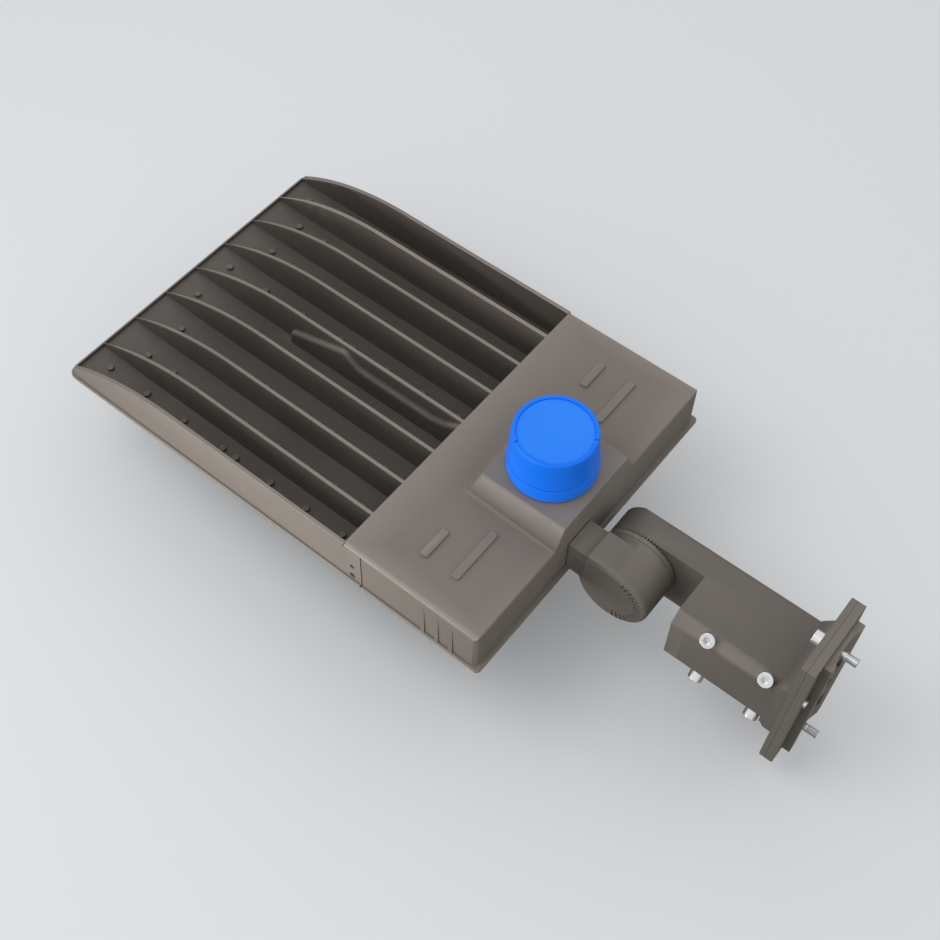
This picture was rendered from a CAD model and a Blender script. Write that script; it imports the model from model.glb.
"""An outdoor shoebox area light: a finned die-cast head on a toothed tilting knuckle,
a blue shorting cap on its photocell socket, and an arm with a tall pole flange.
Lengths are in millimetres until they reach Blender, which works in metres."""
import math

import bmesh
import bpy
from mathutils import Matrix, Vector


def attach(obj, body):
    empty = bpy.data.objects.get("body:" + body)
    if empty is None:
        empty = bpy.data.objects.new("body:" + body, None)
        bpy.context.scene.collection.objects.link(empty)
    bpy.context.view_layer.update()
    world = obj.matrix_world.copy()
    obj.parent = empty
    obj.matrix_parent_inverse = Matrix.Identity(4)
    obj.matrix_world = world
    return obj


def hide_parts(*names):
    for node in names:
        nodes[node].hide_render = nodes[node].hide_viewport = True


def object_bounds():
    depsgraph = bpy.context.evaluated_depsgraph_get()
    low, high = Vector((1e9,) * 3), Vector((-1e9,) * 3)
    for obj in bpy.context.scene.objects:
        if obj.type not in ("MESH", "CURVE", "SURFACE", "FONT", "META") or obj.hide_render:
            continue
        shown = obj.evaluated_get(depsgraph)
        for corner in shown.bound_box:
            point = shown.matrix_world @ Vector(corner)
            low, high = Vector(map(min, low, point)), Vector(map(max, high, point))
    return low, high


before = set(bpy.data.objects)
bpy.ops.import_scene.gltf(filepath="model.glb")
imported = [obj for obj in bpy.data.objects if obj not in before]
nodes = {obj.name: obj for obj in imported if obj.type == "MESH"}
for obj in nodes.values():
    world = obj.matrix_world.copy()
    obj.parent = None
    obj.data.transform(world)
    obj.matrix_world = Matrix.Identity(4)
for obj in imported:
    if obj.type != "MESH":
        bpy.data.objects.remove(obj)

cad_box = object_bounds()
MM = 0.001

# ---- studio ----
# A pale floor a little below the lowest edge of the flange, a wide overhead softbox, a low one on the
# left and a weak even surround. From below the floor lets the view through.
FLOOR_GAP = 30
FLOOR_HALF = 6000
FLOOR_PALE = (0.78, 0.80, 0.82, 1)
FLOOR_BOUNCE = (0.30, 0.30, 0.30, 1)
SURROUND = 0.78


def link(tree, start, end):
    tree.links.new(start, end)


def floor_material():
    made = bpy.data.materials.new("studio_floor")
    made.use_nodes = True
    tree = made.node_tree
    shader = tree.nodes["Principled BSDF"]
    shader.inputs["Roughness"].default_value = 0.9
    shader.inputs["Specular IOR Level"].default_value = 0.1
    path = tree.nodes.new("ShaderNodeLightPath")
    seen = tree.nodes.new("ShaderNodeMix")
    seen.data_type = "RGBA"
    seen.inputs["A"].default_value = FLOOR_BOUNCE
    seen.inputs["B"].default_value = FLOOR_PALE
    link(tree, path.outputs["Is Camera Ray"], seen.inputs["Factor"])
    link(tree, seen.outputs["Result"], shader.inputs["Base Color"])
    below = tree.nodes.new("ShaderNodeNewGeometry")
    clear = tree.nodes.new("ShaderNodeBsdfTransparent")
    either = tree.nodes.new("ShaderNodeMixShader")
    link(tree, below.outputs["Backfacing"], either.inputs["Fac"])
    link(tree, shader.outputs["BSDF"], either.inputs[1])
    link(tree, clear.outputs["BSDF"], either.inputs[2])
    link(tree, either.outputs["Shader"], tree.nodes["Material Output"].inputs["Surface"])
    return made


floor_mesh = bpy.data.meshes.new("floor")
floor_z = cad_box[0].z - FLOOR_GAP * MM
half = FLOOR_HALF * MM
floor_mesh.from_pydata([(-half, -half, floor_z), (half, -half, floor_z), (half, half, floor_z),
                        (-half, half, floor_z)], [], [(0, 1, 2, 3)])
floor = bpy.data.objects.new("floor", floor_mesh)
floor_mesh.materials.append(floor_material())
bpy.context.scene.collection.objects.link(floor)


def softbox(name, place, aim, size, watts):
    lamp = bpy.data.lights.new(name, "AREA")
    lamp.shape = "RECTANGLE"
    lamp.size, lamp.size_y = size[0] * MM, size[1] * MM
    lamp.energy = watts
    held = bpy.data.objects.new(name, lamp)
    held.location = Vector(place) * MM
    held.rotation_mode = "QUATERNION"
    held.rotation_quaternion = (Vector(aim) - Vector(place)).to_track_quat("-Z", "Y")
    bpy.context.scene.collection.objects.link(held)
    return held


# Each softbox: where it hangs, what it aims at, its width and length, and its watts.
softbox("overhead", (-620, 820, 1340), (-40, 380, 0), (860, 860), 4.9)
low_left = softbox("low_left", (-700, 560, -20), (-160, 510, 20), (420, 120), 0.72)
low_left.data.spread = math.radians(84)
# The low softbox lights the object alone, not the floor.
spared = bpy.data.collections.new("not_lit_from_low_left")
spared.objects.link(floor)
low_left.light_linking.receiver_collection = spared
spared.collection_objects[0].light_linking.link_state = "EXCLUDE"

world = bpy.data.worlds.new("surround")
world.use_nodes = True
world.node_tree.nodes["Background"].inputs["Color"].default_value = (1, 1, 1, 1)
world.node_tree.nodes["Background"].inputs["Strength"].default_value = SURROUND
bpy.context.scene.world = world

# The camera stands high behind the left side of the head and looks down at it.
CAMERA_AT = (-538.8, -50.7, 1031.0)
CAMERA_LENS = 51.96
CAMERA_AZIMUTH = math.radians(-51.89)
CAMERA_ELEVATION = math.radians(56.96)
CAMERA_ROLL = math.radians(0.57)
camera_data = bpy.data.cameras.new("camera")
camera_data.lens = CAMERA_LENS
camera_data.sensor_width = 36
camera = bpy.data.objects.new("camera", camera_data)
right = Vector((math.cos(CAMERA_AZIMUTH), math.sin(CAMERA_AZIMUTH), 0))
back = Vector((math.sin(CAMERA_AZIMUTH) * math.cos(CAMERA_ELEVATION),
               -math.cos(CAMERA_AZIMUTH) * math.cos(CAMERA_ELEVATION), math.sin(CAMERA_ELEVATION)))
up = back.cross(right)
rolled_right = right * math.cos(CAMERA_ROLL) + up * math.sin(CAMERA_ROLL)
rolled_up = up * math.cos(CAMERA_ROLL) - right * math.sin(CAMERA_ROLL)
camera.rotation_mode = "QUATERNION"
camera.rotation_quaternion = Matrix((rolled_right, rolled_up, back)).transposed().to_quaternion()
camera.location = Vector(CAMERA_AT) * MM
bpy.context.scene.collection.objects.link(camera)
bpy.context.scene.camera = camera
bpy.context.scene.view_settings.view_transform = "Standard"

# ---- heatsink ----
# The front of the head: one powder-coated aluminium casting, screwed to the driver housing through
# its two rear tabs. The fins are rounded over at their tops and thin out towards the nose, and the
# side walls lean out a little at their feet, as a casting does to leave its die.
# Places on the head are measured from its own origin, HEAD.
HEAD = Vector((2.5, 234, -6.2))
BOX_L = 148
BODY_HALF = 161.2
WALL_T = 4
RIM_OUT = 4.3
RIM_H = 4
HEAD_H = 51.5
LIP_Y = 493.7
LIP_T = 4
FLOOR_TOP = 9.5
BOSS_TOP = 12.5
BOSS_R = 3.2
BOSS_X = (22.5, 63.75, 106.25, 139)
FIN_PITCH = 41
FIN_HALF = 2
FINS_EACH_SIDE = 3
FIN_TIP_L = 58
FIN_TIP_THIN = 0.78
FIN_TIP_CURVE = 1.3
FIN_TIP_CUTS = 3
DUCT_LEFT = -8
TAB_H = 48
NOSE_R = 9
RIM_CORNER_X = BODY_HALF + RIM_OUT - NOSE_R
RIM_CORNER_Y = LIP_Y + RIM_OUT - NOSE_R
WALL_LEAN = 1.6
WELD = 0.002
FLAT = math.radians(0.3)
SHARP = math.radians(22)
SMOOTH = math.radians(34)
TONE_RANGE = (0.35, 0.65)
EDGE_RANGE = (0.51, 0.60)
SHEEN_RANGE = (0.3, 0.7)
GRAIN_DEPTH = 0.3
BRONZE_DARK = (0.170, 0.146, 0.125, 1)
BRONZE_LIGHT = (0.186, 0.160, 0.137, 1)
BRONZE_EDGE = (0.245, 0.214, 0.184, 1)
CHANNEL_DARK = (0.084, 0.072, 0.062, 1)
CHANNEL_LIGHT = (0.100, 0.086, 0.074, 1)


def remap(tree, value, low, high, to_low, to_high):
    node = tree.nodes.new("ShaderNodeMapRange")
    node.inputs["From Min"].default_value = low
    node.inputs["From Max"].default_value = high
    node.inputs["To Min"].default_value = to_low
    node.inputs["To Max"].default_value = to_high
    link(tree, value, node.inputs["Value"])
    return node.outputs["Result"]


def noise(tree, scale, detail):
    place = tree.nodes.new("ShaderNodeTexCoord")
    node = tree.nodes.new("ShaderNodeTexNoise")
    node.inputs["Scale"].default_value = scale
    node.inputs["Detail"].default_value = detail
    link(tree, place.outputs["Object"], node.inputs["Vector"])
    return node.outputs["Fac"]


def effect(name, tone_scale, grain_scale, sheen):
    """A node group whose outputs vary over the surface: tone, worn edges, grain and roughness."""
    tree = bpy.data.node_groups.new(name, "ShaderNodeTree")
    for output in ("Tone", "Edge", "Grain", "Sheen"):
        tree.interface.new_socket(name=output, in_out="OUTPUT", socket_type="NodeSocketFloat")
    ends = tree.nodes.new("NodeGroupOutput")
    link(tree, remap(tree, noise(tree, tone_scale, 4), *TONE_RANGE, 0, 1), ends.inputs["Tone"])
    shape = tree.nodes.new("ShaderNodeNewGeometry")
    link(tree, remap(tree, shape.outputs["Pointiness"], *EDGE_RANGE, 0, 1), ends.inputs["Edge"])
    link(tree, noise(tree, grain_scale, 3), ends.inputs["Grain"])
    link(tree, remap(tree, noise(tree, tone_scale * 7, 3), *SHEEN_RANGE, *sheen), ends.inputs["Sheen"])
    return tree


def surface(name, look, dark, light, edge, bump=0.2, **values):
    """A Principled material between two tones, lighter where edges are worn, with a fine grain."""
    made = bpy.data.materials.new(name)
    made.use_nodes = True
    tree = made.node_tree
    shader = tree.nodes["Principled BSDF"]
    for socket, value in values.items():
        shader.inputs[socket.replace("_", " ")].default_value = value
    group = tree.nodes.new("ShaderNodeGroup")
    group.node_tree = look
    tones = tree.nodes.new("ShaderNodeMix")
    tones.data_type = "RGBA"
    tones.inputs["A"].default_value = dark
    tones.inputs["B"].default_value = light
    link(tree, group.outputs["Tone"], tones.inputs["Factor"])
    worn = tree.nodes.new("ShaderNodeMix")
    worn.data_type = "RGBA"
    worn.inputs["B"].default_value = edge
    link(tree, group.outputs["Edge"], worn.inputs["Factor"])
    link(tree, tones.outputs["Result"], worn.inputs["A"])
    link(tree, worn.outputs["Result"], shader.inputs["Base Color"])
    link(tree, group.outputs["Sheen"], shader.inputs["Roughness"])
    relief = tree.nodes.new("ShaderNodeBump")
    relief.inputs["Strength"].default_value = bump
    relief.inputs["Distance"].default_value = GRAIN_DEPTH * MM
    link(tree, group.outputs["Grain"], relief.inputs["Height"])
    link(tree, relief.outputs["Normal"], shader.inputs["Normal"])
    return made


def cad_solid(*names):
    """The CAD solids' mesh without its inner edges, so that real edges can be rounded."""
    made = bmesh.new()
    for name in names:
        made.from_mesh(nodes[name].data)
    bmesh.ops.remove_doubles(made, verts=made.verts, dist=WELD * MM)
    bmesh.ops.dissolve_limit(made, angle_limit=FLAT, verts=made.verts, edges=made.edges)
    return made


def round_over(mesh, width, chosen, origin=HEAD, steps=3, hollow=False):
    """Round the outer (or hollow) edges whose middle and direction are chosen."""
    picked = []
    for edge in mesh.edges:
        if len(edge.link_faces) != 2:
            continue
        turn = edge.calc_face_angle_signed(0)
        if abs(turn) < SHARP or (turn < 0) != hollow:
            continue
        first, second = edge.verts
        middle = (first.co + second.co) / (2 * MM) - origin
        along = (second.co - first.co).normalized()
        if chosen(middle, along):
            picked.append(edge)
    bmesh.ops.bevel(mesh, geom=picked, offset=width * MM, offset_type="OFFSET", segments=steps,
                    profile=0.5, affect="EDGES", clamp_overlap=False, loop_slide=True)


def lean_out(mesh):
    """Lean the outer side walls out at their feet."""
    for vert in mesh.verts:
        place = vert.co / MM - HEAD
        if abs(abs(place.x) - BODY_HALF) < 0.1 and RIM_H - 0.1 < place.z < HEAD_H:
            out = WALL_LEAN * (1 - (place.z - RIM_H) / (HEAD_H - RIM_H))
            vert.co.x += math.copysign(out, place.x) * MM


def put_in_place(mesh, name, material, *stands_for, body="head", inner=None, inside=None):
    """Turn the mesh into an object of its body and slot, in place of the CAD solids named.

    No point leaves the box of those solids. Faces that inside() chooses get the inner material.
    """
    boxes = [Vector(corner) for node in stands_for for corner in nodes[node].bound_box]
    for vert in mesh.verts:
        for i in range(3):
            vert.co[i] = min(max(vert.co[i], min(c[i] for c in boxes)), max(c[i] for c in boxes))
    bmesh.ops.recalc_face_normals(mesh, faces=mesh.faces)
    for face in mesh.faces:
        face.smooth = True
        if inside and inside(face.calc_center_median() / MM - HEAD, face.normal):
            face.material_index = 1
    for edge in mesh.edges:
        edge.smooth = len(edge.link_faces) == 2 and edge.calc_face_angle(0) < SMOOTH
    data = bpy.data.meshes.new(name)
    mesh.to_mesh(data)
    mesh.free()
    data.materials.append(material)
    if inner:
        data.materials.append(inner)
    piece = bpy.data.objects.new(name, data)
    bpy.context.scene.collection.objects.link(piece)
    piece.modifiers.new("even_shading", "WEIGHTED_NORMAL").keep_sharp = True
    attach(piece, body)
    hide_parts(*stands_for)
    return piece


def near(value, *marks, within=0.15):
    return any(abs(value - mark) < within for mark in marks)


def even_fin_tops(mesh):
    """Lay each fin's top as even strips from side to side, but for the one that the duct joins."""
    for line in fin_lines:
        rails = []
        for x in (line - FIN_HALF, line + FIN_HALF):
            rail = [v for v in mesh.verts if near(v.co.x / MM - HEAD.x, x, within=0.05)
                    and v.co.z / MM - HEAD.z > FLOOR_TOP + 2
                    and BOX_L - 0.1 < v.co.y / MM - HEAD.y < LIP_Y - LIP_T + 0.1]
            rails.append(sorted(rail, key=lambda v: v.co.y))
        ends = set(rails[0] + rails[1])
        old_top = [f for f in mesh.faces if ends.issuperset(f.verts) and f.normal.z > 0.3]
        if len(rails[0]) != len(rails[1]):
            continue
        bmesh.ops.delete(mesh, geom=old_top, context="FACES_KEEP_BOUNDARY")
        for i in range(len(rails[0]) - 1):
            mesh.faces.new((rails[0][i], rails[1][i], rails[1][i + 1], rails[0][i + 1]))


powder = effect("powder", 9, 1500, (0.47, 0.58))
bronze = surface("bronze_coat", powder, BRONZE_DARK, BRONZE_LIGHT, BRONZE_EDGE)
bronze_channel = surface("bronze_coat_in_channels", powder, CHANNEL_DARK, CHANNEL_LIGHT, BRONZE_LIGHT)

fin_lines = [i * FIN_PITCH for i in range(-FINS_EACH_SIDE, FINS_EACH_SIDE + 1)]
fin_faces = [x + side * FIN_HALF for x in fin_lines for side in (-1, 1)]
lip_inner = LIP_Y - LIP_T
tip_start = lip_inner - FIN_TIP_L
heatsink = cad_solid("heatsink")
even_fin_tops(heatsink)
lean_out(heatsink)
# the tops of the fins
round_over(heatsink, 1.7, lambda m, d: near(m.x, *fin_faces) and m.z > FLOOR_TOP + 1.5
           and BOX_L < m.y < lip_inner + 0.1 and abs(d.x) < 0.1 and abs(d.z) < 0.9, steps=4)
# the tops of the side walls, outside and inside
round_over(heatsink, 0.7, lambda m, d: BODY_HALF - 0.1 < abs(m.x) < BODY_HALF + WALL_LEAN
           and m.z > FLOOR_TOP + 0.1 and abs(d.z) < 0.9 and m.y > BOX_L)
round_over(heatsink, 0.8, lambda m, d: near(abs(m.x), BODY_HALF - WALL_T) and m.z > BOSS_TOP + 1
           and abs(d.z) < 0.9 and m.y > BOX_L, steps=2)
# the fins thin out towards the nose
for i in range(FIN_TIP_CUTS):
    cut_at = HEAD + Vector((0, tip_start + i * FIN_TIP_L / FIN_TIP_CUTS, 0))
    bmesh.ops.bisect_plane(heatsink, geom=heatsink.verts[:] + heatsink.edges[:] + heatsink.faces[:],
                           dist=0.001 * MM, plane_co=cut_at * MM, plane_no=(0, 1, 0))
for vert in heatsink.verts:
    place = vert.co / MM - HEAD
    line = round(place.x / FIN_PITCH) * FIN_PITCH
    if abs(place.x - line) > FIN_HALF + 0.05 or abs(line) > FIN_PITCH * FINS_EACH_SIDE:
        continue
    if tip_start < place.y < LIP_Y - 1 and place.z > FLOOR_TOP - 0.05:
        past = min(1, (place.y - tip_start) / FIN_TIP_L)
        vert.co.x = (HEAD.x + line + (place.x - line) * (1 - FIN_TIP_THIN * past ** FIN_TIP_CURVE)) * MM
# the rim at the foot, with its two nose corners
round_over(heatsink, 0.9, lambda m, d: near(m.z, 0, RIM_H)
           and (abs(m.x) > BODY_HALF + RIM_OUT - 0.4 or m.y > LIP_Y + RIM_OUT - 0.4
                or math.hypot(abs(m.x) - RIM_CORNER_X, m.y - RIM_CORNER_Y) > NOSE_R - 0.3
                and abs(m.x) > RIM_CORNER_X and m.y > RIM_CORNER_Y))
# the nose lip
round_over(heatsink, 1.6, lambda m, d: m.y > LIP_Y - LIP_T and m.z > FLOOR_TOP and abs(d.z) < 0.7
           and (m.y > LIP_Y - 0.2 or abs(m.x) > BODY_HALF - WALL_T - 0.9))
# the screw bosses on the floor, the rear tabs and the cable duct
round_over(heatsink, 0.5, lambda m, d: near(m.z, BOSS_TOP) and abs(d.z) < 0.01
           and min(abs(abs(m.x) - x) for x in BOSS_X) < BOSS_R + 0.1, steps=2)
round_over(heatsink, 0.9, lambda m, d: m.y < BOX_L - 0.1 and near(m.z, TAB_H), steps=2)
round_over(heatsink, 4.2, lambda m, d: near(m.x, DUCT_LEFT) and m.z > FLOOR_TOP + 1
           and m.y > BOX_L + 0.5, steps=5)
put_in_place(heatsink, "heatsink_casting", bronze, "heatsink", inner=bronze_channel,
             inside=lambda m, n: abs(m.x) < BODY_HALF - WALL_T + 0.1 and BOX_L < m.y < lip_inner
             and m.z > FLOOR_TOP - 0.1 and n.z > -0.1
             and (m.z < BOSS_TOP + 0.2 or abs(n.x) > 0.8 or DUCT_LEFT - 0.1 < m.x < -FIN_HALF - 0.1))

# ---- driver housing ----
# The rear box: a second casting with the same coat, held to the heatsink's tabs by side screws. The
# pedestal for the photocell socket grows out of the top with a fillet, the four bars are low
# rounded pads, and tapered ribs stand on each side.
PEDESTAL_HALF = 46
PEDESTAL_FRONT = 92
PEDESTAL_SPREAD = 11
RIBS_FROM = 26
RIBS_TO = 66
BAR_TOP = 53.9
BAR_R = 3.75
BAR_REACH = 2.5
BAR_ROOM_X = (73, 129)
BAR_ROOM_Y = (49, 93)
# Each pair of bars: its middle line, and where its outer and inner round ends begin.
BARS = ((88, 122.25, 100.75), (54.5, 122.25, 77.25))


def on_pedestal(m):
    return (m.z > HEAD_H + 0.2 and RIM_OUT + 0.5 < m.y < PEDESTAL_FRONT + PEDESTAL_SPREAD - 1
            and (abs(m.x) > PEDESTAL_HALF - 4 or m.y > PEDESTAL_FRONT - 4)
            and abs(m.x) < PEDESTAL_HALF + PEDESTAL_SPREAD + 1)


def by_bars(m):
    return BAR_ROOM_X[0] < abs(m.x) < BAR_ROOM_X[1] and BAR_ROOM_Y[0] < m.y < BAR_ROOM_Y[1]


def square_bar_ends(mesh):
    """Give the bars squarer ends and let the outer ones reach a little further."""
    for vert in mesh.verts:
        place = vert.co / MM - HEAD
        if not by_bars(place) or place.z < HEAD_H - 0.1:
            continue
        for y, outer, inner in BARS:
            aside = place.y - y
            beyond = max(abs(place.x) - outer, inner - abs(place.x))
            if abs(aside) > BAR_R + 0.1 or beyond < -0.01:
                continue
            reach = BAR_R * math.sqrt(max(0, beyond) / BAR_R)
            swell = math.copysign(BAR_R * math.sqrt(min(1, abs(aside) / BAR_R)), aside)
            end = outer + reach + BAR_REACH if abs(place.x) >= outer - 0.01 else inner - reach
            vert.co.x = (HEAD.x + math.copysign(end, place.x)) * MM
            vert.co.y = (HEAD.y + y + swell) * MM


housing = cad_solid("driver_housing")
square_bar_ends(housing)
lean_out(housing)
# the pedestal's foot and edges
round_over(housing, 3.5, lambda m, d: near(m.z, HEAD_H) and abs(d.z) < 0.1
           and abs(m.x) < PEDESTAL_HALF + PEDESTAL_SPREAD
           and m.y < PEDESTAL_FRONT + PEDESTAL_SPREAD - 1, steps=4, hollow=True)
round_over(housing, 2.2, lambda m, d: on_pedestal(m))
# the bars' feet and tops
round_over(housing, 0.6, lambda m, d: near(m.z, HEAD_H) and by_bars(m), steps=2, hollow=True)
round_over(housing, 0.6, lambda m, d: near(m.z, BAR_TOP) and by_bars(m))
# the side ribs and the rim at the foot
round_over(housing, 0.35, lambda m, d: abs(m.x) > BODY_HALF + 0.2 and m.z > RIM_H + 0.2
           and RIBS_FROM < m.y < RIBS_TO and abs(d.z) > 0.7, steps=2)
round_over(housing, 0.6, lambda m, d: near(m.z, 0, RIM_H)
           and (abs(m.x) > BODY_HALF + RIM_OUT - 0.4 or m.y < RIM_OUT - 0.4))
put_in_place(housing, "driver_housing_casting", bronze, "driver_housing")

# ---- shorting cap ----
# A twist-lock shorting cap, locked by its blades into the socket on the pedestal: one moulding of
# blue polycarbonate with a satin skin, a band round its foot below a shallow groove, and a raised
# rim with two gaps on top.
CAP_AT = Vector((2.5, 285, 69.8))
CAP_R = 39.8
CAP_TOP_R = 36.5
CAP_H = 49
CAP_BAND_H = 15
CAP_WALL = 2.4
CAP_STEP_Z = 14
CAP_GAPS = (148, 292)
CAP_GAP_HALF = 1.9
CAP_GAP_DEPTH = 1.4
CAP_RIM_FROM = 32.4
CAP_PLATE_R = 31.6
CAP_PLATE_DROP = 1.3
CAP_TURNS = 180
CAP_BLUE_DARK = (0.003, 0.168, 0.90, 1)
CAP_BLUE_LIGHT = (0.005, 0.190, 0.97, 1)
CAP_BLUE_EDGE = (0.02, 0.24, 1.0, 1)
CAP_PLATE_DARK = (0.012, 0.215, 0.97, 1)
CAP_PLATE_LIGHT = (0.020, 0.240, 1.0, 1)
CAP_PROFILE = (
    (0, CAP_H - CAP_PLATE_DROP), (CAP_PLATE_R, CAP_H - CAP_PLATE_DROP), (32.2, CAP_H - 1.5),
    (32.6, CAP_H - 1.5), (32.7, CAP_H - 0.4), (33.0, CAP_H - 0.08), (33.6, CAP_H), (34.8, CAP_H),
    (35.6, CAP_H - 0.2), (36.2, CAP_H - 0.7), (CAP_TOP_R, CAP_H - 1.5), (37.5, CAP_H - 11),
    (38.9, CAP_BAND_H + 1.5), (38.85, CAP_BAND_H + 1.1), (37.9, CAP_BAND_H + 0.8),
    (37.8, CAP_BAND_H + 0.1), (39.2, CAP_BAND_H - 0.2), (39.6, CAP_BAND_H - 0.5),
    (CAP_R, CAP_BAND_H - 1.1), (CAP_R, 1.0), (39.65, 0.4), (39.2, 0),
    (CAP_R - CAP_WALL, 0), (CAP_R - CAP_WALL, CAP_STEP_Z), (CAP_R - CAP_WALL - 1.4, CAP_STEP_Z),
    (CAP_TOP_R - CAP_WALL, CAP_H - CAP_WALL - 0.8), (0, CAP_H - CAP_WALL - 0.8))


def lathe(profile, angles, centre, height=None):
    """A closed turned body; height may lower a point of the profile at an angle."""
    mesh = bmesh.new()
    rings = []
    for radius, z in profile:
        if radius == 0:
            rings.append([mesh.verts.new((centre + Vector((0, 0, z))) * MM)])
            continue
        ring = []
        for angle in angles:
            lift = height(radius, z, angle) if height else z
            turn = math.radians(angle)
            spot = centre + Vector((radius * math.cos(turn), radius * math.sin(turn), lift))
            ring.append(mesh.verts.new(spot * MM))
        rings.append(ring)
    for first, second in zip(rings, rings[1:]):
        for i in range(len(angles)):
            j = (i + 1) % len(angles)
            quad = [first[i % len(first)], first[j % len(first)], second[j % len(second)],
                    second[i % len(second)]]
            corners = list(dict.fromkeys(quad))
            mesh.faces.new(corners)
    return mesh


def cap_height(radius, z, angle):
    beside = min(abs(angle - gap) for gap in CAP_GAPS)
    if beside < CAP_GAP_HALF and radius > CAP_RIM_FROM:
        return min(z, CAP_H - CAP_GAP_DEPTH)
    return z


# the angles of the cap's points, with a steep step at each side of the gaps in its rim
cap_angles = {i * 360 / CAP_TURNS for i in range(CAP_TURNS)}
for gap in CAP_GAPS:
    cap_angles = {a for a in cap_angles if abs(a - gap) > CAP_GAP_HALF + 0.6}
    cap_angles |= {gap - CAP_GAP_HALF - 0.25, gap - CAP_GAP_HALF + 0.1, gap,
                   gap + CAP_GAP_HALF - 0.1, gap + CAP_GAP_HALF + 0.25}
satin = effect("satin_moulding", 16, 900, (0.34, 0.42))
cap_blue = surface("cap_blue_moulding", satin, CAP_BLUE_DARK, CAP_BLUE_LIGHT, CAP_BLUE_EDGE, bump=0.06,
                   Specular_IOR_Level=0.18)
cap_plate = surface("cap_blue_top_plate", satin, CAP_PLATE_DARK, CAP_PLATE_LIGHT, CAP_PLATE_LIGHT,
                    bump=0.06, Specular_IOR_Level=0.3)
cap = lathe(CAP_PROFILE, sorted(cap_angles), CAP_AT, cap_height)
put_in_place(cap, "shorting_cap_moulding", cap_blue, "shorting_cap", body="cap", inner=cap_plate,
             inside=lambda m, n: n.z > 0.9 and (m + HEAD - CAP_AT).z > CAP_H - CAP_PLATE_DROP - 0.3
             and (m + HEAD - CAP_AT).xy.length < CAP_PLATE_R + 0.4)

# ---- knuckle ----
# The toothed barrel that the head tilts on, and the neck that bolts to the head's rear wall, are
# one casting. A fine groove runs round the barrel beside its teeth. Like the arm it is a shade
# deeper than the head, as it comes from another coating run.
TILT = Vector((0, 190, 0))
SHOULDER_L = 28
SHOULDER_FOOT = 20
NECK_LEFT = -34.9
NECK_W = 31.4
NECK_END = 43
KNUCKLE_RIGHT = 10.2
KNUCKLE_R = 35.6
ARM_DARK = (0.118, 0.104, 0.088, 1)
ARM_LIGHT = (0.131, 0.115, 0.097, 1)
ARM_EDGE = (0.19, 0.167, 0.142, 1)
arm_bronze = surface("arm_coat", powder, ARM_DARK, ARM_LIGHT, ARM_EDGE)
knuckle = cad_solid("knuckle")
# the neck's long edges and its shoulder
round_over(knuckle, 1.2, lambda m, d: SHOULDER_L + 0.5 < m.y < NECK_END and abs(d.y) > 0.9
           and near(m.x, NECK_LEFT, NECK_LEFT + NECK_W), TILT)
round_over(knuckle, 0.6, lambda m, d: near(m.y, SHOULDER_L) and m.z > SHOULDER_FOOT, TILT, steps=2)
# the barrel's end beside the ear
round_over(knuckle, 0.12, lambda m, d: near(m.x, KNUCKLE_RIGHT)
           and math.hypot(m.y, m.z) > KNUCKLE_R - 0.6, TILT, steps=1)
put_in_place(knuckle, "knuckle_casting", arm_bronze, "knuckle")

# ---- arm ----
# The slip-fitter arm: eight-sided tube, ear and tall pole flange in one casting with the same
# deeper bronze coat, bolted to the pole through its flange. Its edges are nearly sharp.
ORIGIN = Vector((0, 0, 0))
ARM_FRONT = 130
FLANGE_FACE = 20.5
PARTING = 15
EAR_R = 35.6
EAR_LEFT = 10.5
TUBE_FROM = 30
TUBE_X = (28, 33, 38)
TUBE_Z = (25.6, 30.6, 35.6)
FLANGE_HALF = 39
FLANGE_HZ = 87.5


def on_flange_rim(m):
    return abs(m.x) > FLANGE_HALF - 0.2 or abs(m.z) > FLANGE_HZ - 0.2


arm = cad_solid("arm")
# the ear's round front
round_over(arm, 0.8, lambda m, d: abs(m.x) > EAR_LEFT - 0.6 and m.y > TILT.y
           and math.hypot(m.y - TILT.y, m.z) > EAR_R - 0.4, ORIGIN)
# the long edges of the tube
round_over(arm, 0.7, lambda m, d: TUBE_FROM < m.y < ARM_FRONT - 1 and abs(d.y) > 0.99
           and near(abs(m.x), *TUBE_X) and near(abs(m.z), *TUBE_Z), ORIGIN, steps=2)
# the flange: its front, its parting line with the adapter, and its corners
flange_middle = (PARTING + FLANGE_FACE) / 2
round_over(arm, 1.0, lambda m, d: near(m.y, FLANGE_FACE) and on_flange_rim(m), ORIGIN)
round_over(arm, 0.5, lambda m, d: near(m.y, PARTING) and on_flange_rim(m), ORIGIN, steps=2)
round_over(arm, 0.8, lambda m, d: abs(m.y - flange_middle) < 2.2 and abs(d.y) > 0.9
           and on_flange_rim(m), ORIGIN, steps=2)
put_in_place(arm, "arm_casting", arm_bronze, "arm", body="arm")

# ---- end cover ----
# A small casting that closes the front of the tube beside the ear, with the same coat as the arm.
# Two blackened screws hold it.
COVER_REAR = 118
COVER_RIGHT = 9
COVER_CORNER_Z = 24
end_cover = cad_solid("end_cover")
round_over(end_cover, 0.7, lambda m, d: near(m.y, ARM_FRONT) and m.x < COVER_RIGHT, ORIGIN)
round_over(end_cover, 0.35, lambda m, d: m.y > COVER_REAR and abs(d.y) > 0.9
           and abs(m.z) > COVER_CORNER_Z, ORIGIN, steps=2)
put_in_place(end_cover, "end_cover_casting", arm_bronze, "end_cover", body="arm")

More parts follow.
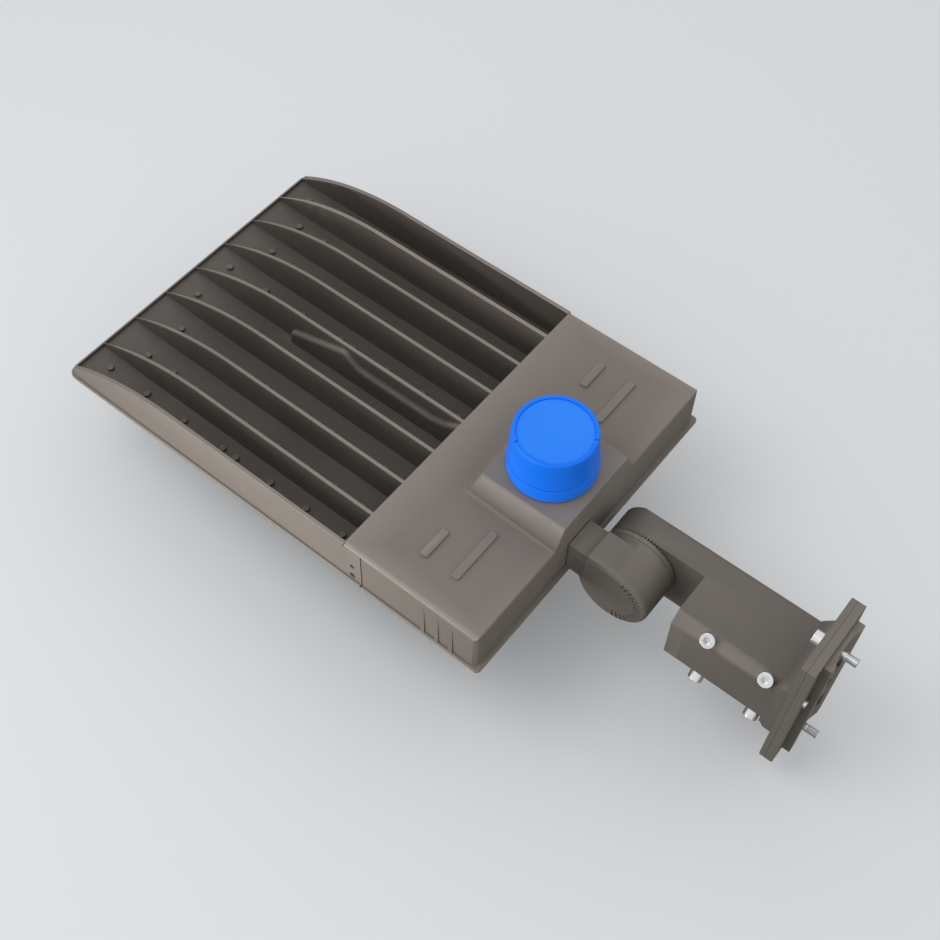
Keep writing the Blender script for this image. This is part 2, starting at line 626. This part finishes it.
# ---- pole adapter ----
# The coated plate between flange and pole, screwed to the flange: its narrower raised pad carries
# the saddle for a round pole. A fine line shows where it meets the flange.
PAD_HALF = 26
PAD_T = 7.5
adapter = cad_solid("pole_adapter")
round_over(adapter, 0.5, lambda m, d: near(m.y, PARTING) and on_flange_rim(m), ORIGIN, steps=2)
round_over(adapter, 0.8, lambda m, d: near(m.y, PAD_T) and on_flange_rim(m), ORIGIN, steps=2)
round_over(adapter, 0.8, lambda m, d: PAD_T + 0.1 < m.y < PARTING - 0.1 and abs(d.y) > 0.9
           and on_flange_rim(m), ORIGIN, steps=2)
round_over(adapter, 0.7, lambda m, d: m.y < PAD_T - 0.1 and abs(m.x) > PAD_HALF - 0.2, ORIGIN, steps=2)
put_in_place(adapter, "pole_adapter_casting", arm_bronze, "pole_adapter", body="arm")

# ---- pole bolts, set screws and pivot bolt ----
# Bright zinc-plated M8 socket head screws. Their heads have a chamfered crown and a deep hexagon,
# and the ends of the pole bolts carry their threads where they stand out of the pole face.
BOLT_Z = 71.5
BOLT_HEAD_L = 8
BOLT_HEAD_R = 6.5
THREAD_L = 11
THREAD_PITCH = 1.25
THREAD_CREST = 4
THREAD_ROOT = 3.2
THREAD_FROM = 0.5
THREAD_RUNOUT = 0.8
RINGS_PER_TURN = 6
ZINC_DARK = (0.62, 0.63, 0.65, 1)
ZINC_LIGHT = (0.80, 0.81, 0.83, 1)
ZINC_EDGE = (0.95, 0.95, 0.96, 1)
bright = effect("bright_metal", 45, 700, (0.16, 0.30))
zinc = surface("bright_zinc", bright, ZINC_DARK, ZINC_LIGHT, ZINC_EDGE, bump=0.05, Metallic=1)


def round_corners(mesh, width, steps=2):
    """Round every sharp edge of small turned or cut pieces."""
    round_over(mesh, width, lambda m, d: True, ORIGIN, steps=steps)


bolts = cad_solid("pole_bolts")
# the heads' crowns, the mouths of their hexagons, and the bolts' ends
crown_y = FLANGE_FACE + BOLT_HEAD_L - 0.1
round_over(bolts, 0.7, lambda m, d: m.y > crown_y
           and math.hypot(m.x, abs(m.z) - BOLT_Z) > BOLT_HEAD_R - 0.5, ORIGIN)
round_over(bolts, 0.25, lambda m, d: m.y > crown_y, ORIGIN, steps=2)
round_over(bolts, 0.45, lambda m, d: near(m.y, -THREAD_L), ORIGIN, steps=1)
# the threads: rings are cut along each free end, and then drawn in along a helix
for i in range(int((THREAD_L - 2 * THREAD_FROM) / THREAD_PITCH * RINGS_PER_TURN)):
    ring_y = -THREAD_FROM - i * THREAD_PITCH / RINGS_PER_TURN
    bmesh.ops.bisect_plane(bolts, geom=bolts.verts[:] + bolts.edges[:] + bolts.faces[:],
                           dist=0.0005 * MM, plane_co=(0, ring_y * MM, 0), plane_no=(0, 1, 0))
for vert in bolts.verts:
    y = vert.co.y / MM
    x = vert.co.x / MM
    z = vert.co.z / MM - math.copysign(BOLT_Z, vert.co.z)
    radius = math.hypot(x, z)
    if THREAD_FROM - THREAD_L < y < 0.1 - THREAD_FROM and radius > THREAD_CREST - 0.2:
        phase = (y / THREAD_PITCH + math.atan2(z, x) / math.tau) % 1
        fade = min(1, (y + THREAD_L) / THREAD_RUNOUT)
        cut = (THREAD_CREST - THREAD_ROOT) * (1 - abs(2 * phase - 1)) * fade
        vert.co.x = x * (radius - cut) / radius * MM
        vert.co.z = (z * (radius - cut) / radius + math.copysign(BOLT_Z, vert.co.z)) * MM
put_in_place(bolts, "pole_bolts_m8", zinc, "pole_bolts", body="arm")

set_screws = cad_solid("set_screws")
round_corners(set_screws, 0.35)
put_in_place(set_screws, "set_screws_m8", zinc, "set_screws", body="arm")
for name, width in (("pivot_bolt", 0.4), ("pivot_washer", 0.15)):
    piece = cad_solid(name)
    round_corners(piece, width)
    put_in_place(piece, name + "_turned", zinc, name, body="arm")

# ---- small screws ----
# Pan head screws of plain stainless steel. The tab and cover screws are blackened, the adapter's are
# zinc plated and the ground screw is green. Their rounded heads have six-lobed drives. The door's
# hinge pins are plain rods of the same steel.
LOBES = 6
LOBE_DEPTH = 0.16
ROUND_SIDES = 15
GREEN_DARK = (0.03, 0.22, 0.07, 1)
GREEN_LIGHT = (0.06, 0.34, 0.12, 1)
STAINLESS_DARK = (0.46, 0.46, 0.47, 1)
STAINLESS_LIGHT = (0.62, 0.62, 0.63, 1)
BLACKENED_DARK = (0.055, 0.050, 0.046, 1)
BLACKENED_LIGHT = (0.10, 0.09, 0.085, 1)
stainless = surface("stainless_steel", bright, STAINLESS_DARK, STAINLESS_LIGHT, ZINC_LIGHT, bump=0.08,
                    Metallic=1)
blackened = surface("blackened_steel", bright, BLACKENED_DARK, BLACKENED_LIGHT, STAINLESS_LIGHT, bump=0.08,
                    Metallic=1, Specular_IOR_Level=0.4)
green_steel = surface("green_plated_steel", bright, GREEN_DARK, GREEN_LIGHT, STAINLESS_LIGHT,
                      bump=0.08, Metallic=1)


def cut_drives(mesh, axis, drive_r, depth):
    """Sink a six-lobed drive into every round face that looks along the axis."""
    axis = Vector(axis)
    for face in [f for f in mesh.faces if len(f.verts) > ROUND_SIDES and f.normal.dot(axis) > 0.99]:
        middle = face.calc_center_median()
        reach = max((v.co - middle).length for v in face.verts)
        if reach < drive_r * 1.2 * MM:
            continue
        bmesh.ops.inset_individual(mesh, faces=[face], thickness=reach * 0.3)
        side = (face.verts[0].co - middle).normalized()
        other = axis.cross(side)
        for vert in face.verts:
            away = vert.co - middle
            turn = math.atan2(away.dot(other), away.dot(side))
            radius = drive_r * (1 + LOBE_DEPTH * math.cos(LOBES * turn)) * MM
            vert.co = middle + (side * math.cos(turn) + other * math.sin(turn)) * radius
        bmesh.ops.inset_individual(mesh, faces=[face], thickness=0.02 * MM, depth=-depth * MM)


# Each row: CAD solid, the way its drive looks (none: both sides), the drive's radius and depth,
# finish and body.
small_screws = (
    ("lens_screws", (0, 0, -1), 1.5, 1.0, stainless, "head"),
    ("board_screws", (0, 0, -1), 1.3, 0.7, stainless, "head"),
    ("wireway_screws", (0, 0, -1), 1.5, 1.0, stainless, "head"),
    ("box_screws", (0, 0, -1), 1.9, 1.3, stainless, "head"),
    ("ground_screw", (0, 0, -1), 2.2, 1.6, green_steel, "head"),
    ("door_screws", (0, 0, -1), 2.2, 1.4, stainless, "door"),
    ("socket_screws", (0, 0, 1), 1.8, 1.3, stainless, "head"),
    ("knuckle_screws", (0, 1, 0), 2.3, 2.0, stainless, "head"),
    ("cover_screws", (0, 1, 0), 1.9, 1.5, blackened, "arm"),
    ("adapter_screws", (0, -1, 0), 2.0, 1.6, zinc, "arm"),
    ("tab_screws", None, 0.95, 1.0, blackened, "head"),
    ("hinge_pins", None, 0, 0, stainless, "head"))
for name, axis, drive_r, depth, finish, body in small_screws:
    piece = cad_solid(name)
    if drive_r:
        for way in ((axis,) if axis else ((-1, 0, 0), (1, 0, 0))):
            cut_drives(piece, way, drive_r, depth)
    round_corners(piece, 0.18)
    put_in_place(piece, name + "_turned", finish, name, body=body)

# ---- light panels ----
# White-coated aluminium boards, screwed under the heatsink's floor, carry rows of yellow phosphor
# chips. Clear acrylic panels with a dome over each chip close them in on silicone gaskets, and a
# sheet cover hides the wireway.
BOARD_WHITE = (0.78, 0.79, 0.77, 1)
BOARD_TRACE = (0.66, 0.68, 0.66, 1)
TRACE_W = 0.011
TRACE_L = 0.022
TRACE_GAP = 0.0007
boards_look = effect("solder_mask", 30, 600, (0.38, 0.50))
board_mask = surface("white_solder_mask", boards_look, BOARD_WHITE, BOARD_WHITE, BOARD_WHITE, bump=0.05)
# Traces show through the mask as a fine grid.
tree = board_mask.node_tree
place = tree.nodes.new("ShaderNodeTexCoord")
traces = tree.nodes.new("ShaderNodeTexBrick")
traces.inputs["Scale"].default_value = 1
traces.inputs["Brick Width"].default_value = TRACE_L
traces.inputs["Row Height"].default_value = TRACE_W
traces.inputs["Mortar Size"].default_value = TRACE_GAP
traces.inputs["Color1"].default_value = BOARD_WHITE
traces.inputs["Color2"].default_value = BOARD_WHITE
traces.inputs["Mortar"].default_value = BOARD_TRACE
link(tree, place.outputs["Object"], traces.inputs["Vector"])
link(tree, traces.outputs["Color"], tree.nodes["Principled BSDF"].inputs["Base Color"])

phosphor = surface("phosphor", satin, (0.80, 0.50, 0.06, 1), (0.95, 0.66, 0.14, 1), (1.0, 0.78, 0.30, 1),
                   bump=0.1, Subsurface_Weight=0.2, Subsurface_Scale=0.001)
clear = effect("clear_moulding", 20, 300, (0.03, 0.09))
acrylic = surface("clear_acrylic", clear, (0.93, 0.95, 0.96, 1), (0.97, 0.98, 0.98, 1), (1, 1, 1, 1),
                  bump=0.02, Transmission_Weight=1, IOR=1.49)
# Light that has passed the acrylic once may reach the boards behind it unbent.
tree = acrylic.node_tree
path = tree.nodes.new("ShaderNodeLightPath")
passing = tree.nodes.new("ShaderNodeMath")
passing.operation = "MAXIMUM"
link(tree, path.outputs["Is Shadow Ray"], passing.inputs[0])
link(tree, path.outputs["Is Diffuse Ray"], passing.inputs[1])
let_by = remap(tree, passing.outputs["Value"], 0, 1, 1, 0.06)
link(tree, let_by, tree.nodes["Principled BSDF"].inputs["Alpha"])

rubber_look = effect("silicone_rubber", 50, 1200, (0.62, 0.78))
silicone = surface("black_silicone", rubber_look, (0.016, 0.016, 0.017, 1), (0.030, 0.030, 0.031, 1),
                   (0.06, 0.06, 0.06, 1), bump=0.3)
# Each entry: CAD solid, the rounding of its edges, finish and body.
for name, width, finish, body in (
        ("led_boards", 0.15, board_mask, "head"), ("led_chips", 0.1, phosphor, "head"),
        ("lens_panels", 0.3, acrylic, "head"), ("wireway_cover", 0.4, bronze, "head"),
        ("lens_gaskets", 0.3, silicone, "head"), ("socket_gasket", 0.2, silicone, "head"),
        ("knuckle_gasket", 0.15, silicone, "head"), ("door_gasket", 0.2, silicone, "head"),
        ("wire_grommet", 0.25, silicone, "head"), ("cap_seal", 0.15, silicone, "cap"),
        ("pivot_seal", 0.2, silicone, "arm"), ("flange_gasket", 0.1, silicone, "arm")):
    piece = cad_solid(name)
    round_corners(piece, width)
    put_in_place(piece, name + "_formed", finish, name, body=body)

# ---- driver door ----
# A cast door below the driver box, hinged at its front edge on two pins and held by two screws,
# with the same coat as the box.
door = cad_solid("driver_door")
round_corners(door, 0.5)
put_in_place(door, "driver_door_casting", bronze, "driver_door", body="door")

# ---- electrical parts ----
# Screwed under the top of the box: a potted LED driver in a drawn aluminium case, a red moulded
# surge protector and a black terminal block, joined by plain black leads. The socket and the cap's
# base are black mouldings with brass contacts.
brushed = effect("drawn_aluminium", 25, 1000, (0.30, 0.46))
case_metal = surface("driver_case_aluminium", brushed, (0.46, 0.48, 0.50, 1), (0.58, 0.60, 0.62, 1),
                     (0.75, 0.76, 0.78, 1), bump=0.1, Metallic=1)
surge_red = surface("surge_case_moulding", satin, (0.42, 0.035, 0.03, 1), (0.52, 0.05, 0.04, 1),
                    (0.62, 0.12, 0.10, 1), bump=0.12)
black_plastic = surface("black_moulding", satin, (0.020, 0.020, 0.022, 1), (0.032, 0.032, 0.035, 1),
                        (0.09, 0.09, 0.09, 1), bump=0.15)
sheath = surface("lead_insulation", satin, (0.012, 0.012, 0.013, 1), (0.024, 0.024, 0.026, 1),
                 (0.05, 0.05, 0.05, 1), bump=0.08)
contact_brass = surface("contact_brass", bright, (0.58, 0.40, 0.13, 1), (0.74, 0.54, 0.20, 1),
                        (0.90, 0.74, 0.40, 1), bump=0.06, Metallic=1)
# Each entry: CAD solid, the rounding of its edges (none on the round leads), finish and body.
for name, width, finish, body in (
        ("led_driver", 0.6, case_metal, "head"), ("surge_protector", 0.7, surge_red, "head"),
        ("terminal_block", 0.4, black_plastic, "head"), ("socket", 0.3, black_plastic, "head"),
        ("cap_base", 0.3, black_plastic, "cap"), ("socket_contacts", 0.12, contact_brass, "head"),
        ("cap_blades", 0.15, contact_brass, "cap"), ("led_lead", 0, sheath, "head"),
        ("box_leads", 0, sheath, "head"), ("socket_leads", 0, sheath, "head")):
    piece = cad_solid(name)
    if width:
        round_corners(piece, width)
    put_in_place(piece, name + "_made", finish, name, body=body)
